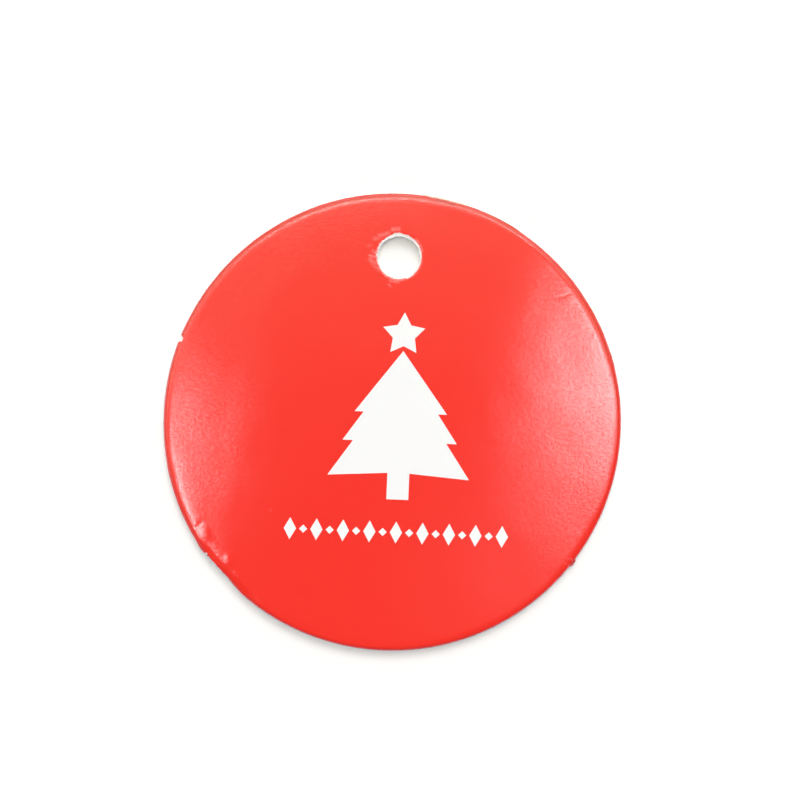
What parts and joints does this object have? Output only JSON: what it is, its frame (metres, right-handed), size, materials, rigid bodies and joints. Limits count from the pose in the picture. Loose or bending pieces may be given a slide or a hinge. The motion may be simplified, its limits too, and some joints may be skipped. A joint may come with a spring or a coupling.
{
  "type": "gift tag",
  "caption": "Round red gift tag of film-laminated pasted board, with a white star, tree and ornament row and a punched hole for a string.",
  "frame": {"origin": "middle of the round back face", "axes": "+Z out of the printed face, +Y from the middle of the disc towards the string hole"},
  "size_m": [0.05, 0.05, 0.0008],
  "materials": {
    "back_paper": "uncoated white paper",
    "board_core": "cut pulp board, dense and matte",
    "face_paper": "coated white paper",
    "red_print": "solid red offset ink",
    "gloss_film": "clear gloss laminating film"
  },
  "bodies": {
    "root": {"back_paper": "back_paper", "board_core": "board_core", "face_paper": "face_paper", "red_print": "red_print", "gloss_film": "gloss_film"}
  },
  "joints": []
}
